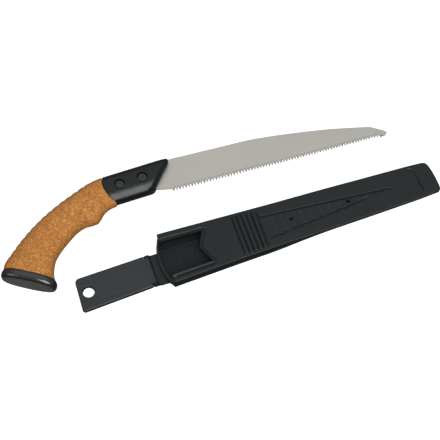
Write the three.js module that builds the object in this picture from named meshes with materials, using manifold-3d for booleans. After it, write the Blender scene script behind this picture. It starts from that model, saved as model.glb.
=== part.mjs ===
// Fixed-blade pruning saw with a curved cork pistol grip, lying beside its
// moulded scabbard with a hinged belt hanger.
// Millimetres, +Z up, +X from grip to blade tip. Both pieces lie flat.
import * as THREE from 'three';
import { mergeVertices } from 'three/addons/utils/BufferGeometryUtils.js';
import Module from 'manifold-3d';

const wasm = await Module();
wasm.setup();

// ---------------------------------------------------------------- dimensions
const ORIGIN_X = -2.045;         // plan centre of the whole set, subtracted at the end
const ORIGIN_Y = 13.143;
const GAP = 0.3;                // clearance between touching pieces

// saw
const SAW_MID_Z = 15;           // mid plane of grip and blade
const BLADE_T = 1.3;
const TOOTH_PITCH_HEEL = 3.34;
const TOOTH_PITCH_TIP = 2.94;
const TOOTH_DEPTH_HEEL = 4.2;
const TOOTH_DEPTH_TIP = 3.2;
const TOOTH_LEAN = 0.7;         // gullet position between two tips, as a share of the pitch
const FERRULE_HALF_T = 10.5;
const FERRULE_ROUND = 6.0;
const SLOT_T = 1.9;
const SCREW_X = [-87.7, -63.0]; // rear and front blade screws
const SCREW_Y = 65.6;
const SCREW_HEAD_R = 4.1;
const RECESS_R = 5.6;
const SHANK_R = 2.5;

// scabbard
const SH_Y = -26;               // centre line of the scabbard
const SH_T = 17;                // thickness
const SH_WALL = 2.4;
const SH_SPLIT = 8.5;           // parting plane of the two shells
const MOUTH_X = -67.5;
const TIP_X = 229.2;
const SH_T_TIP = 13.8;          // thickness at the tip
const HALF_W_MOUTH = 28.6;      // half width at the mouth
const HALF_W_TIP = 16.9;        // half width at the tip
const BACK_MOUTH_X = -74.8;     // the back shell reaches further at the mouth
const GROOVE_X0 = 10.8;
const GROOVE_PITCH = 5.2;
const GROOVES = 6;
const PIN_X = -85.0;
const PIN_Z = 3.6;
const PIN_R = 1.3;
const BARREL_R = 3.0;

// ---------------------------------------------------------------- helpers
function solid(geo) {
  const g = geo.clone();
  g.deleteAttribute('normal');
  g.deleteAttribute('uv');
  const m = mergeVertices(g.index ? g : g, 1e-4);
  const index = m.index.array;
  return new wasm.Manifold(new wasm.Mesh({
    numProp: 3,
    vertProperties: new Float32Array(m.attributes.position.array),
    triVerts: new Uint32Array(index),
  }));
}
function geometryOf(man) {
  const mesh = man.getMesh();
  const g = new THREE.BufferGeometry();
  g.setAttribute('position', new THREE.BufferAttribute(new Float32Array(mesh.vertProperties), 3));
  g.setIndex(new THREE.BufferAttribute(new Uint32Array(mesh.triVerts), 1));
  return g;
}
function shapeOf(points, holes = []) {
  const s = new THREE.Shape(points.map(([x, y]) => new THREE.Vector2(x, y)));
  for (const h of holes) s.holes.push(new THREE.Path(h.map(([x, y]) => new THREE.Vector2(x, y))));
  return s;
}
// a plate with the outline `points`, from z0 to z1, edges rounded by `bevel`
function plate(points, z0, z1, bevel = 0, segments = 2, holes = []) {
  const g = new THREE.ExtrudeGeometry(shapeOf(points, holes), {
    depth: z1 - z0 - 2 * bevel,
    steps: 1,
    bevelEnabled: bevel > 0,
    bevelThickness: bevel,
    bevelSize: bevel,
    bevelOffset: -bevel,
    bevelSegments: segments,
    curveSegments: 8,
  });
  g.translate(0, 0, z0 + bevel);
  return solid(g);
}
function rod(r, z0, z1, x, y, sides = 20) {
  const g = new THREE.CylinderGeometry(r, r, z1 - z0, sides);
  g.rotateX(Math.PI / 2);
  g.translate(x, y, (z0 + z1) / 2);
  return solid(g);
}
function rodY(r, y0, y1, x, z, sides = 20) {
  const g = new THREE.CylinderGeometry(r, r, y1 - y0, sides);
  g.translate(x, (y0 + y1) / 2, z);
  return solid(g);
}
// a prism along X with its outline in Y and Z
function prismX(points, x0, x1) {
  const g = new THREE.ExtrudeGeometry(shapeOf(points), { depth: x1 - x0, steps: 1, bevelEnabled: false });
  g.applyMatrix4(new THREE.Matrix4().makeBasis(new THREE.Vector3(0, 1, 0), new THREE.Vector3(0, 0, 1), new THREE.Vector3(1, 0, 0)));
  g.translate(x0, 0, 0);
  return solid(g);
}
function roundedRect(a0, a1, b0, b1, r, n = 5) {
  const out = [];
  for (const [ca, cb, start] of [[a1 - r, b0 + r, -90], [a1 - r, b1 - r, 0], [a0 + r, b1 - r, 90], [a0 + r, b0 + r, 180]]) {
    for (let i = 0; i <= n; i++) {
      const t = ((start + (90 * i) / n) * Math.PI) / 180;
      out.push([ca + r * Math.cos(t), cb + r * Math.sin(t)]);
    }
  }
  return out;
}
function box(x0, x1, y0, y1, z0, z1) {
  const g = new THREE.BoxGeometry(x1 - x0, y1 - y0, z1 - z0);
  g.translate((x0 + x1) / 2, (y0 + y1) / 2, (z0 + z1) / 2);
  return solid(g);
}
function circle(x, y, r, n = 20) {
  const out = [];
  for (let i = 0; i < n; i++) {
    const a = (2 * Math.PI * i) / n;
    out.push([x + r * Math.cos(a), y + r * Math.sin(a)]);
  }
  return out;
}
function spline(points, n) {
  const c = new THREE.SplineCurve(points.map(([x, y]) => new THREE.Vector2(x, y)));
  return c.getPoints(n).map((p) => [p.x, p.y]);
}

// stations run along a curved piece: [centre x, centre y, half width vector x,
// half width vector y, half thickness]. A closed cylinder is bent through them,
// and its section goes from round (power) to boxier (powerEnd) along the piece.
function loft(stations, { rings = 24, sides = 20, power = 2.2, powerEnd = power, z = SAW_MID_Z, widthBy = 1, thickBy = 1, from = 0, to = 1 } = {}) {
  const key = (i) => new THREE.CatmullRomCurve3(stations.map((s) => new THREE.Vector3(s[i[0]], s[i[1]], i[2] === undefined ? 0 : s[i[2]])), false, 'centripetal');
  const centre = key([0, 1, 4]);
  const half = key([2, 3]);
  const g = new THREE.CylinderGeometry(1, 1, 1, sides, rings);
  const p = g.attributes.position;
  for (let i = 0; i < p.count; i++) {
    const t = from + (to - from) * (0.5 - p.getY(i));
    const r = Math.hypot(p.getX(i), p.getZ(i));
    const sup = (v) => Math.sign(v) * Math.pow(Math.abs(v), 2 / (power + (powerEnd - power) * t * t));
    const a = Math.atan2(p.getZ(i), p.getX(i));
    const c = centre.getPoint(t);
    const h = half.getPoint(t);
    const u = r < 1e-6 ? 0 : sup(Math.cos(a)) * widthBy;
    const v = r < 1e-6 ? 0 : sup(Math.sin(a)) * thickBy;
    p.setXYZ(i, c.x + h.x * u, c.y + h.y * u, z + c.z * v);
  }
  let m = solid(g);
  if (m.volume() < 0) {
    const ix = g.index.array;
    for (let i = 0; i < ix.length; i += 3) [ix[i], ix[i + 1]] = [ix[i + 1], ix[i]];
    m = solid(g);
  }
  return m;
}

const group = new THREE.Group();
function add(name, man, look, bend = null) {
  const g = geometryOf(man);
  if (bend) bend(g);
  g.translate(-ORIGIN_X, -ORIGIN_Y, 0);
  g.computeVertexNormals();
  const mesh = new THREE.Mesh(g, new THREE.MeshStandardMaterial(look));
  mesh.name = name;
  group.add(mesh);
}

const BLACK = { color: 0x2b2e30, roughness: 0.45, metalness: 0 };
const GLOSS = { color: 0x101112, roughness: 0.15, metalness: 0 };
const CORK = { color: 0xc8873f, roughness: 0.9, metalness: 0 };
const CORE = { color: 0x8d6b45, roughness: 0.8, metalness: 0 };
const STEEL = { color: 0xb4b2aa, roughness: 0.35, metalness: 1 };
const DARK_STEEL = { color: 0x3a3c3e, roughness: 0.35, metalness: 1 };
const PAD = { color: 0x1c1e20, roughness: 0.75, metalness: 0 };

// ---------------------------------------------------------------- blade
const back = [[-60, 78.0], [-31.5, 80.3], [-10, 79.0], [22, 76.9], [54, 74.7], [70, 72.8], [94, 68.8], [118, 64.1], [142, 58.9], [166, 52.5], [184.0, 47.4], [197.1, 38.3], [198.4, 36.8], [198.8, 35.4], [197.9, 34.1], [195.6, 33.0]];
const tipLine = [[-34.0, 43.6], [-2, 41.9], [38, 40.3], [78, 38.0], [118, 36.2], [158, 34.6], [182, 33.7], [193.2, 32.4]];
function lineAt(line, x) {
  for (let i = 0; i < line.length - 1; i++) {
    const [x0, y0] = line[i];
    const [x1, y1] = line[i + 1];
    if (x <= x1 || i === line.length - 2) return y0 + ((y1 - y0) * (x - x0)) / (x1 - x0);
  }
  return 0;
}
const teeth = [];
for (let x = -35.4; x < 193.6;) {
  const f = (x + 35.4) / 229;
  const pitch = TOOTH_PITCH_HEEL + (TOOTH_PITCH_TIP - TOOTH_PITCH_HEEL) * f;
  const depth = TOOTH_DEPTH_HEEL + (TOOTH_DEPTH_TIP - TOOTH_DEPTH_HEEL) * f;
  teeth.push([x, lineAt(tipLine, x)]);
  if (x + pitch < 193.6) teeth.push([x + TOOTH_LEAN * pitch, lineAt(tipLine, x) + depth]);
  x += pitch;
}
const bladeOutline = [
  ...back,
  ...teeth.reverse(),
  [-36.6, 47.2], [-40.4, 48.2], [-50, 50.6], [-58, 54.0],
  [-75, 57.4], [-97, 57.4], [-97, 73.4], [-75, 73.8],
];
const bladeHoles = SCREW_X.map((x) => circle(x, SCREW_Y, SHANK_R + 0.35, 16));
const blade = plate(bladeOutline, SAW_MID_Z - BLADE_T / 2, SAW_MID_Z + BLADE_T / 2, 0, 1, bladeHoles);
add('saw_blade', blade, STEEL);

// ---------------------------------------------------------------- ferrule
const ferruleRear = spline([[-102.6, 79.6], [-104.9, 72.0], [-104.5, 63.0], [-101.5, 54.5], [-96.6, 48.9]], 9);
const ferruleOutline = [
  ...ferruleRear,
  [-76, 48.8], [-56.6, 49.0], [-54.0, 50.2], [-52.2, 52.8],
  [-32.1, 74.2], [-31.2, 77.2], [-32.6, 79.8], [-35.8, 80.7], [-70, 80.2],
];
let ferrule = plate(ferruleOutline, SAW_MID_Z - FERRULE_HALF_T, SAW_MID_Z + FERRULE_HALF_T, 1.2, 2)
  .intersect(prismX(roundedRect(48.7, 80.6, SAW_MID_Z - FERRULE_HALF_T, SAW_MID_Z + FERRULE_HALF_T, FERRULE_ROUND), -115, -20));
// the blade slot, open to the front and along both long edges where the blade leaves
ferrule = ferrule.subtract(plate([[-98, 56.6], [-75, 56.6], [-58, 53.3], [-50, 49.0], [-30, 40], [-20, 86], [-31, 81.0], [-60, 78.8], [-75, 74.6], [-98, 74.2]], SAW_MID_Z - SLOT_T / 2, SAW_MID_Z + SLOT_T / 2));
for (const x of SCREW_X) {
  ferrule = ferrule.subtract(rod(SHANK_R + 0.3, 0, 30, x, SCREW_Y, 16));
  ferrule = ferrule.subtract(rod(RECESS_R, SAW_MID_Z + 6.0, 30, x, SCREW_Y, 24));
  ferrule = ferrule.subtract(rod(4.9, -1, SAW_MID_Z - 6.0, x, SCREW_Y, 6));
}
// socket for the tenon of the handle core
const tenon = (g) => plate([[-110, 57.0 - g], [-99.2 + g, 57.0 - g], [-99.2 + g, 73.6 + g], [-110, 73.6 + g]], SAW_MID_Z - 5 - g, SAW_MID_Z + 5 + g);
ferrule = ferrule.subtract(tenon(GAP));
add('ferrule', ferrule, BLACK);

// ---------------------------------------------------------------- cork grip
// spine and underside of the grip, station by station from ferrule to butt
const spine = [[-97.4, 80.7], [-109.0, 80.7], [-121.0, 78.9], [-130.8, 76.0], [-141.0, 72.2], [-151.8, 68.1], [-164.2, 62.7], [-176.8, 56.4], [-190.2, 48.3], [-203.6, 39.0], [-215.8, 29.2], [-225.4, 20.2], [-229.0, 12.9]];
const under = [[-91.4, 47.9], [-106.2, 46.0], [-116.6, 38.3], [-124.8, 34.8], [-135.2, 34.1], [-145.0, 31.6], [-154.4, 25.9], [-162.5, 20.4], [-169.1, 14.9], [-175.0, 8.7], [-179.2, 0.6], [-181.6, -7.6], [-181.8, -16.2]];
const thick = [10.6, 11.6, 12.4, 12.9, 13.2, 13.4, 13.6, 13.8, 14.0, 14.2, 14.3, 14.3, 14.3];
const gripStations = spine.map((s, i) => [(s[0] + under[i][0]) / 2, (s[1] + under[i][1]) / 2, (s[0] - under[i][0]) / 2, (s[1] - under[i][1]) / 2, thick[i]]);
const coreStations = [[-101, 65.3, 1.0, 8.3, 5], [-110, 63.8, 1.0, 8.3, 5.5], ...gripStations.slice(2).map((s) => {
  const l = Math.hypot(s[2], s[3]);
  return [s[0], s[1], (s[2] * 8.6) / l, (s[3] * 8.6) / l, 6];
})];
let cork = loft(gripStations, { rings: 30, sides: 24, power: 2.3, powerEnd: 3.0 });
const ferruleCutter = plate([...spline([[-102.9, 90], [-102.9, 81.0], [-105.3, 72.5], [-104.9, 63.0], [-101.9, 54.4], [-96.9, 48.9], [-92, 44.5]], 14), [-60, 44.5], [-60, 90]], 0, 32);
cork = cork.subtract(ferruleCutter);
cork = cork.subtract(loft(coreStations, { rings: 20, sides: 14, widthBy: 1.04, thickBy: 1.06, power: 2.6 }).add(box(-112, -98, 56.7, 73.9, SAW_MID_Z - 5.3, SAW_MID_Z + 5.3)));
// keep the rear of the bore open to the cap
const capDir = new THREE.Vector2(0.530, 0.848);          // from the cap towards the grip
const capMid = [-205.2, -0.5];
function behindCap(offset, len = 60) {
  // slab on the butt side of the cap plane
  const n = capDir;
  const t = new THREE.Vector2(-n.y, n.x);
  const c = [capMid[0] + n.x * offset, capMid[1] + n.y * offset];
  const q = (a, b) => [c[0] + t.x * a - n.x * b, c[1] + t.y * a - n.y * b];
  return plate([q(-60, 0), q(-60, len), q(60, len), q(60, 0)].reverse(), -10, 40);
}
cork = cork.subtract(behindCap(1.3));
add('cork_grip', cork, CORK);

// ---------------------------------------------------------------- core
let core = loft(coreStations, { rings: 20, sides: 14, power: 2.6 }).add(plate([[-111, 57.2], [-99.9, 57.2], [-99.9, 73.4], [-111, 73.4]], SAW_MID_Z - 4.9, SAW_MID_Z + 4.9));
core = core.subtract(behindCap(1.5));
const studHole = (r, o0, o1) => {
  const g = new THREE.CylinderGeometry(r, r, o1 - o0, 14);
  g.rotateZ(Math.atan2(-capDir.x, capDir.y));
  g.translate(capMid[0] + (capDir.x * (o0 + o1)) / 2, capMid[1] + (capDir.y * (o0 + o1)) / 2, SAW_MID_Z);
  return solid(g);
};
core = core.subtract(studHole(2.4, -5, 22));
add('handle_core', core, CORE);

// ---------------------------------------------------------------- butt cap
const across = new THREE.Vector2(-capDir.y, capDir.x);
const capStation = (o, w, t, shift = 0) => [capMid[0] + capDir.x * o + across.x * shift, capMid[1] + capDir.y * o + across.y * shift, across.x * w, across.y * w, t];
const capStations = [capStation(0.95, 27.4, 14.3), capStation(-0.8, 28.8, 14.7), capStation(-3.2, 29.4, 14.9), capStation(-5.6, 29.3, 14.6), capStation(-7.4, 28.5, 13.6), capStation(-8.6, 26.3, 11.2)];
let cap = loft(capStations, { rings: 8, sides: 36, power: 2.7 });
cap = cap.subtract(studHole(2.4, -5.5, 5));
add('butt_cap', cap, GLOSS);
add('cap_stud', studHole(2.1, -5.1, 21), STEEL);

// ---------------------------------------------------------------- blade screws
['rear', 'front'].forEach((where, i) => {
  const x = SCREW_X[i];
  const top = SAW_MID_Z + 6.0 + GAP;
  let washer = rod(5.1, top, top + 0.8, x, SCREW_Y, 24).subtract(rod(SHANK_R + 0.2, top - 1, top + 2, x, SCREW_Y, 16));
  add(`washer_${where}`, washer, DARK_STEEL);
  const headBase = top + 0.8 + GAP;
  let screw = rod(SHANK_R, SAW_MID_Z - 9.6, headBase + 1, x, SCREW_Y, 16)
    .add(rod(SCREW_HEAD_R, headBase, headBase + 2.4, x, SCREW_Y, 24))
    .subtract(rod(2.1, headBase + 0.7, headBase + 4, x, SCREW_Y, 6));
  add(`blade_screw_${where}`, screw, STEEL);
  const nut = rod(4.5, SAW_MID_Z - 10.0, SAW_MID_Z - 6.3, x, SCREW_Y, 6).subtract(rod(SHANK_R + 0.25, SAW_MID_Z - 12, SAW_MID_Z - 5, x, SCREW_Y, 16));
  add(`blade_nut_${where}`, nut, STEEL);
});

// ---------------------------------------------------------------- scabbard
const halfW = (x) => HALF_W_MOUTH + ((HALF_W_TIP - HALF_W_MOUTH) * (x - MOUTH_X)) / (TIP_X - 4 - MOUTH_X);
// plan outline, inset by d; the mouth end is straight (front) or bulged (back)
function plan(d, mouth, tipInset = d) {
  const w0 = halfW(MOUTH_X) - d;
  const w1 = halfW(TIP_X - 6) - d;
  const k = w1 / (halfW(TIP_X - 6));
  const tip = [[-6.6, -17.1], [-3.0, -16.5], [-0.9, -14.8], [0, -11.2], [-0.2, -4.5], [-1.0, 3.5], [-2.2, 10], [-3.6, 14.2], [-5.6, 16.3], [-8.6, 17.1]]
    .map(([x, y]) => [TIP_X + x - tipInset, y * k]);
  const end = {
    straight: [[MOUTH_X, w0], [MOUTH_X, -w0]],
    open: [[MOUTH_X - 20, w0 + 0.8], [MOUTH_X - 20, -w0 - 0.8]],
    bulged: [[MOUTH_X + 0.3, w0], [-71.2, 20.4], [-73.6, 12.5], [BACK_MOUTH_X, 4.5], [BACK_MOUTH_X, -4.5], [-73.6, -12.5], [-71.2, -20.4], [MOUTH_X + 0.3, -w0]],
  }[mouth];
  return [...tip, ...end].map(([x, y]) => [x, SH_Y + y]);
}
const outerFront = plate(plan(0, 'straight'), 0, SH_T, 2.6, 3);
const outerBack = plate(plan(0, 'bulged'), 0, SH_T, 1.6, 2);
const cavity = plate(plan(SH_WALL, 'open', SH_WALL + 2), SH_WALL, SH_T - SH_WALL, 0.8, 1);
// the scabbard gets thinner towards its tip
function slim(g) {
  const p = g.attributes.position;
  for (let i = 0; i < p.count; i++) {
    const x = Math.max(p.getX(i), BACK_MOUTH_X);
    p.setZ(i, p.getZ(i) * (1 + ((SH_T_TIP / SH_T - 1) * (x - BACK_MOUTH_X)) / (TIP_X - BACK_MOUTH_X)));
  }
}
const above = box(-200, 300, -100, 50, SH_SPLIT + GAP / 2, 40);
const below = box(-200, 300, -100, 50, -10, SH_SPLIT - GAP / 2);

// window in the front shell, open to the mouth, with a chevron end
const windowCut = plate([[-90, 18.6], [-90, -20.6], [-60, -20.4], [-22.0, -18.0], [-31.0, 0], [-22.0, 17.4], [-60, 18.5]].map(([x, y]) => [x, SH_Y + y]), SH_SPLIT + 2, 30);
let front = outerFront.intersect(above).subtract(cavity).subtract(windowCut);
for (let i = 0; i < GROOVES; i++) {
  const x = GROOVE_X0 + i * GROOVE_PITCH;
  const w = halfW(x) - 3.0;
  front = front.subtract(box(x - 0.55, x + 0.55, SH_Y - w, SH_Y + w, SH_T - 0.7, SH_T + 3));
}
for (const x of [69.3, 132.2]) front = front.subtract(rod(1.3, SH_T - 5, SH_T + 3, x, SH_Y, 12));
// screw bosses joining the shells, close to the side walls
const bosses = [[-40, 1], [-40, -1], [60, 1], [60, -1], [205, 1], [205, -1]].map(([x, s]) => [x, SH_Y + s * (halfW(x) - SH_WALL - 2.4)]);
for (const [x, y] of bosses) front = front.add(rod(2.9, SH_SPLIT + GAP / 2, SH_T - 1.2, x, y, 12).subtract(rod(1.1, 0, SH_T - 4, x, y, 8)));
add('sheath_front_shell', front, BLACK, slim);

let rear = outerBack.intersect(below).subtract(cavity);
// neck plate and the two hinge ears
const EAR_Y = [[-14.8, -12.4], [-46.8, -44.4]];
rear = rear.add(plate([[-80.4, -46.6], [-71, -47.4], [-71, -12.2], [-80.4, -12.6]], 0.4, 2.2, 0.3, 1));
// the neck ends in a hollow seat that follows the hinge barrel
const seat = box(-84.2, -80.0, EAR_Y[1][1] - 0.2, EAR_Y[0][0] + 0.2, 0.4, 2.2);
rear = rear.add(seat.subtract(rodY(BARREL_R + 0.25, EAR_Y[1][1], EAR_Y[0][0], PIN_X, PIN_Z, 32)));
for (const [y0, y1] of EAR_Y) {
  rear = rear.add(rodY(BARREL_R, y0, y1, PIN_X, PIN_Z, 20));
  rear = rear.add(box(PIN_X, -79.4, y0, y1, 0.7, 2.6));
}
rear = rear.subtract(rodY(PIN_R + 0.15, -60, 0, PIN_X, PIN_Z, 14));
for (const [x, y] of bosses) {
  rear = rear.add(rod(2.9, 1.2, SH_SPLIT - GAP / 2, x, y, 12));
  rear = rear.subtract(rod(1.4, -1, 12, x, y, 10)).subtract(rod(2.3, -1, 1.9, x, y, 12));
}
add('sheath_back_shell', rear, BLACK, slim);

bosses.forEach(([x, y], i) => {
  const screw = rod(2.0, 0.35, 1.6, x, y, 12).add(rod(0.95, 1.0, SH_T - 4.6, x, y, 8));
  add(`shell_screw_${i + 1}`, screw, DARK_STEEL, slim);
});

// textured pad on the floor behind the window
add('floor_pad', plate([[-73.4, -6], [-73.4, 6], [-71.6, 14.6], [-70, 15.4], [-16, 15.4], [-16, -15.4], [-70, -15.4], [-71.6, -14.6]].map(([x, y]) => [x, SH_Y + y]).reverse(), SH_WALL + GAP, SH_WALL + GAP + 1.4, 0.3, 1), PAD);

// ---------------------------------------------------------------- belt hanger
const HANGER_T = 4.8;
const hangerTop = PIN_Z + BARREL_R - 0.15;
const hangerPlan = [[-88.3, -47.2], [-88.3, -12.3], [-158.4, -13.9], [-161.6, -15.4], [-163.0, -18.4], [-164.6, -46.6], [-163.8, -49.4], [-160.8, -50.9]];
let hanger = plate([...hangerPlan].reverse(), hangerTop - HANGER_T, hangerTop, 0.9, 2, [circle(-153.0, -31.4, 6.6, 24)]);
hanger = hanger.add(rodY(BARREL_R - 0.05, EAR_Y[1][1] + 0.4, EAR_Y[0][0] - 0.4, PIN_X, PIN_Z, 20));
hanger = hanger.add(box(-91.5, PIN_X, EAR_Y[1][1] + 0.4, EAR_Y[0][0] - 0.4, 1.9, hangerTop - 0.1));
hanger = hanger.subtract(rodY(PIN_R + 0.15, -60, 0, PIN_X, PIN_Z, 14));
for (let i = 0; i < 8; i++) {
  const y = -40.6 + i * 3.0;
  hanger = hanger.add(box(-144.5, -91.5, y - 0.5, y + 0.5, hangerTop - 0.6, hangerTop + 0.35));
}
add('belt_hanger', hanger, BLACK);
add('hanger_pin', rodY(PIN_R, -46.7, -12.5, PIN_X, PIN_Z, 14), DARK_STEEL);

export default group;
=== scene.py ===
import math

import bmesh
import bpy
import numpy as np
from mathutils import Matrix, Vector


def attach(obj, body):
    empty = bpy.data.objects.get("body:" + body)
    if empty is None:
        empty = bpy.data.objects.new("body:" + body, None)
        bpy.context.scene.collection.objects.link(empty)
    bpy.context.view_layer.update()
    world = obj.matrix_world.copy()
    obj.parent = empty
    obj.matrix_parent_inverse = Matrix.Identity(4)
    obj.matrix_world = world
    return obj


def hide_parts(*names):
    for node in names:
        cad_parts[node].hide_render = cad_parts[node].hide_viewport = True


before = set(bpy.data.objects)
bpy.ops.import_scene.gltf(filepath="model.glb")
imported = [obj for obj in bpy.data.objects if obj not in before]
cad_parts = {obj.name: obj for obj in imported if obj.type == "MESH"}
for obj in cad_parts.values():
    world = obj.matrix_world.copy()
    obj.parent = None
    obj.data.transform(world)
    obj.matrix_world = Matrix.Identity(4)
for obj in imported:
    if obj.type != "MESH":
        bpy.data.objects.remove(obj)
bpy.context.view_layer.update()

# Drawing coordinates are millimetres; the frame's origin is the set's bottom centre.
OX, OY = -2.045, 13.143
MID = 15.0            # mid plane of the saw
SHY = -26.0           # centre line of the scabbard
SH_T, SH_TT = 17.0, 13.8
TIPX, BACKX, MOUTHX = 229.2, -74.8, -67.5


def to_frame(v):
    v = np.asarray(v, float)
    return np.c_[(v[:, 0] - OX) / 1000, (v[:, 1] - OY) / 1000, v[:, 2] / 1000]


# ------------------------------------------------------------------ materials
def node(nt, kind, **inputs):
    n = nt.nodes.new(kind)
    for k, v in inputs.items():
        n.inputs[k].default_value = v
    return n


class Mat:
    """A Principled material with object coordinates at hand."""

    def __init__(self, name, **fixed):
        self.m = bpy.data.materials.new(name)
        self.m.use_nodes = True
        self.nt = self.m.node_tree
        self.b = self.nt.nodes["Principled BSDF"]
        for k, v in fixed.items():
            self.b.inputs[k.replace("_", " ")].default_value = v
        self.tc = self.nt.nodes.new("ShaderNodeTexCoord")

    def link(self, a, b):
        self.nt.links.new(a, b)

    def coords(self, scale, rotation=(0, 0, 0)):
        mp = self.nt.nodes.new("ShaderNodeMapping")
        mp.inputs["Scale"].default_value = scale
        mp.inputs["Rotation"].default_value = rotation
        self.link(self.tc.outputs["Object"], mp.inputs["Vector"])
        return mp.outputs["Vector"]

    def noise(self, scale, vec=None, detail=4.0, rough=0.55):
        n = node(self.nt, "ShaderNodeTexNoise", Scale=scale, Detail=detail, Roughness=rough)
        self.link(vec if vec is not None else self.tc.outputs["Object"], n.inputs["Vector"])
        return n

    def voronoi(self, scale, feature="F1", vec=None):
        n = self.nt.nodes.new("ShaderNodeTexVoronoi")
        n.feature = feature
        n.inputs["Scale"].default_value = scale
        self.link(vec if vec is not None else self.tc.outputs["Object"], n.inputs["Vector"])
        return n

    def ramp(self, fac, stops, interp="LINEAR"):
        r = self.nt.nodes.new("ShaderNodeValToRGB")
        r.color_ramp.interpolation = interp
        e = r.color_ramp.elements
        while len(e) < len(stops):
            e.new(0.5)
        for el, (p, c) in zip(e, stops):
            el.position = p
            el.color = (*c, 1) if len(c) == 3 else c
        self.link(fac, r.inputs["Fac"])
        return r.outputs["Color"]

    def mix(self, fac, a, b, mode="MIX"):
        m = self.nt.nodes.new("ShaderNodeMix")
        m.data_type = "RGBA"
        m.blend_type = mode
        if isinstance(fac, float):
            m.inputs["Factor"].default_value = fac
        else:
            self.link(fac, m.inputs["Factor"])
        for sock, val in ((m.inputs[6], a), (m.inputs[7], b)):
            if isinstance(val, tuple):
                sock.default_value = (*val, 1)
            else:
                self.link(val, sock)
        return m.outputs[2]

    def span(self, val, lo, hi, a=0.0, b=1.0):
        m = self.nt.nodes.new("ShaderNodeMapRange")
        m.inputs["From Min"].default_value = a
        m.inputs["From Max"].default_value = b
        m.inputs["To Min"].default_value = lo
        m.inputs["To Max"].default_value = hi
        self.link(val, m.inputs["Value"])
        return m.outputs["Result"]

    def math(self, op, a, b):
        m = self.nt.nodes.new("ShaderNodeMath")
        m.operation = op
        for i, v in enumerate((a, b)):
            if isinstance(v, (int, float)):
                m.inputs[i].default_value = v
            else:
                self.link(v, m.inputs[i])
        return m.outputs[0]

    def bump(self, height, strength, distance, after=None):
        n = node(self.nt, "ShaderNodeBump", Strength=strength, Distance=distance)
        self.link(height, n.inputs["Height"])
        if after is not None:
            self.link(after, n.inputs["Normal"])
        return n.outputs["Normal"]

    def set(self, name, out):
        self.link(out, self.b.inputs[name])


def cork_material():
    m = Mat("cork_agglomerate", IOR=1.35)
    warp = m.noise(300, detail=2)
    vec = m.mix(0.010, m.tc.outputs["Object"], warp.outputs["Color"])
    grain = m.voronoi(760, vec=vec)
    tone = m.nt.nodes.new("ShaderNodeSeparateColor")
    m.link(grain.outputs["Color"], tone.inputs[0])
    base = m.ramp(tone.outputs[0], [(0.0, (0.300, 0.105, 0.022)), (0.2, (0.385, 0.150, 0.032)), (0.55, (0.450, 0.190, 0.044)), (0.85, (0.520, 0.245, 0.066)), (1.0, (0.600, 0.330, 0.110))])
    small = m.voronoi(1900)
    tone2 = m.nt.nodes.new("ShaderNodeSeparateColor")
    m.link(small.outputs["Color"], tone2.inputs[0])
    spots = m.ramp(tone2.outputs[0], [(0.0, (0.50, 0.42, 0.36)), (0.16, (0.82, 0.78, 0.74)), (0.5, (1.02, 1.02, 1.02)), (0.88, (1.14, 1.15, 1.16)), (1.0, (1.36, 1.42, 1.5))])
    col = m.mix(0.95, base, spots, "MULTIPLY")
    edge = m.voronoi(760, "DISTANCE_TO_EDGE", vec=vec)
    seams = m.ramp(edge.outputs["Distance"], [(0.0, (0.70, 0.60, 0.52)), (0.08, (1, 1, 1))])
    col = m.mix(0.6, col, seams, "MULTIPLY")
    broad = m.noise(30, detail=3)
    shade = m.ramp(broad.outputs["Fac"], [(0.3, (0.95, 0.89, 0.84)), (0.7, (1.09, 1.08, 1.07))])
    col = m.mix(0.8, col, shade, "MULTIPLY")
    m.set("Base Color", col)
    m.set("Roughness", m.span(broad.outputs["Fac"], 0.74, 0.92, 0.3, 0.7))
    h = m.math("ADD", m.math("MULTIPLY", edge.outputs["Distance"], 2.0), m.noise(2600, detail=3).outputs["Fac"])
    m.set("Normal", m.bump(h, 0.45, 0.00025))
    return m.m


def plastic_material(name, colour, rough, fine=0.10, gloss_var=0.06, coat=0.0, ior=1.40):
    m = Mat(name, IOR=ior, Coat_Weight=coat, Coat_Roughness=0.08)
    broad = m.noise(55, detail=4)
    c0 = tuple(c * 0.86 for c in colour)
    c1 = tuple(c * 1.18 for c in colour)
    col = m.ramp(broad.outputs["Fac"], [(0.3, c0), (0.7, c1)])
    dust = m.noise(900, detail=3)
    flecks = m.ramp(dust.outputs["Fac"], [(0.0, (1, 1, 1)), (0.62, (1, 1, 1)), (0.8, (1.35, 1.35, 1.35))])
    col = m.mix(0.6, col, flecks, "MULTIPLY")
    m.set("Base Color", col)
    m.set("Roughness", m.span(m.noise(140, detail=5).outputs["Fac"], rough - gloss_var, rough + gloss_var, 0.3, 0.7))
    grain = m.noise(4200, detail=2)
    m.set("Normal", m.bump(grain.outputs["Fac"], fine, 0.00006))
    return m.m


def blade_material():
    m = Mat("blade_satin_steel", Metallic=1.0)
    brush = m.noise(60, vec=m.coords((7, 520, 60), (0, 0, 0.06)), detail=6, rough=0.7)
    broad = m.noise(14, detail=3)
    col = m.ramp(brush.outputs["Fac"], [(0.25, (0.500, 0.484, 0.440)), (0.75, (0.575, 0.557, 0.510))])
    tint = m.ramp(broad.outputs["Fac"], [(0.3, (0.96, 0.965, 0.97)), (0.7, (1.03, 1.02, 1.0))])
    m.set("Base Color", m.mix(1.0, col, tint, "MULTIPLY"))
    m.set("Roughness", m.span(brush.outputs["Fac"], 0.40, 0.54, 0.3, 0.7))
    m.set("Normal", m.bump(brush.outputs["Fac"], 0.10, 0.00003))
    return m.m


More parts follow.
